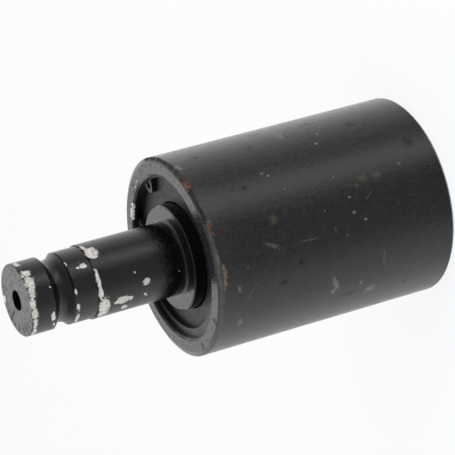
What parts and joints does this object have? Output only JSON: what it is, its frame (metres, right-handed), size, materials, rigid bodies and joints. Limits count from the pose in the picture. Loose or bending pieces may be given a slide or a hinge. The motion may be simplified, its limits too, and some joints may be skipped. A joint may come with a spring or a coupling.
{
  "type": "conveyor roller",
  "caption": "Dark painted steel conveyor roller: a thick tube shell turning on ball bearings round a one-sided stub axle with a rounded locking groove and an end hole.",
  "frame": {"origin": "on the roller's axis at the shell's far face, which the roller stands on", "axes": "+Z along the axis from the shell's far face to the stub's end, +Y toward the gap of the rear retaining ring"},
  "size_m": [0.076, 0.076, 0.1627],
  "materials": {
    "shell_paint": "semi-gloss dark grey paint, worn at the near edge",
    "axle_paint": "semi-gloss dark grey paint, chipped to bare steel",
    "ring_paint": "dark paint over spring steel",
    "seal_paint": "dark paint over a pressed steel case",
    "seal_rubber": "moulded seal rubber",
    "garter_steel": "coiled spring wire",
    "bearing_steel": "ground bearing steel",
    "ball_steel": "polished bearing steel",
    "cage_plastic": "moulded cage plastic",
    "shield_steel": "pressed sheet steel",
    "turned_steel": "turned steel",
    "ring_steel": "oiled dark spring steel",
    "cap_steel": "dark paint over pressed steel"
  },
  "bodies": {
    "axle": {"stub_axle": "axle_paint", "front_inner_race": "bearing_steel", "rear_inner_race": "bearing_steel", "inner_sleeve": "turned_steel", "axle_shim": "turned_steel", "axle_snap_ring": "ring_steel"},
    "roller": {"roller_shell": "shell_paint", "front_ring": "ring_paint", "seal_case": "seal_paint", "seal_lip": "seal_rubber", "seal_spring": "garter_steel", "front_outer_race": "bearing_steel", "front_shield_near": "shield_steel", "front_shield_far": "shield_steel", "rear_outer_race": "bearing_steel", "rear_shield_near": "shield_steel", "rear_shield_far": "shield_steel", "rear_ring": "ring_steel", "end_cap": "cap_steel"},
    "front_ball_set": {"front_balls": "ball_steel", "front_cage": "cage_plastic"},
    "rear_ball_set": {"rear_balls": "ball_steel", "rear_cage": "cage_plastic"}
  },
  "joints": [
    {"name": "roller_spin", "type": "hinge", "parent": "axle", "child": "roller", "pos_m": [0, 0, 0.05], "axis": [0, 0, 1], "continuous": true},
    {"name": "front_cage_spin", "type": "hinge", "parent": "axle", "child": "front_ball_set", "pos_m": [0, 0, 0.0802], "axis": [0, 0, 1], "continuous": true},
    {"name": "rear_cage_spin", "type": "hinge", "parent": "axle", "child": "rear_ball_set", "pos_m": [0, 0, 0.0198], "axis": [0, 0, 1], "continuous": true}
  ],
  "couplings": [
    {"joint": "front_cage_spin", "follows": "roller_spin", "ratio": 0.6035},
    {"joint": "rear_cage_spin", "follows": "roller_spin", "ratio": 0.6035}
  ]
}
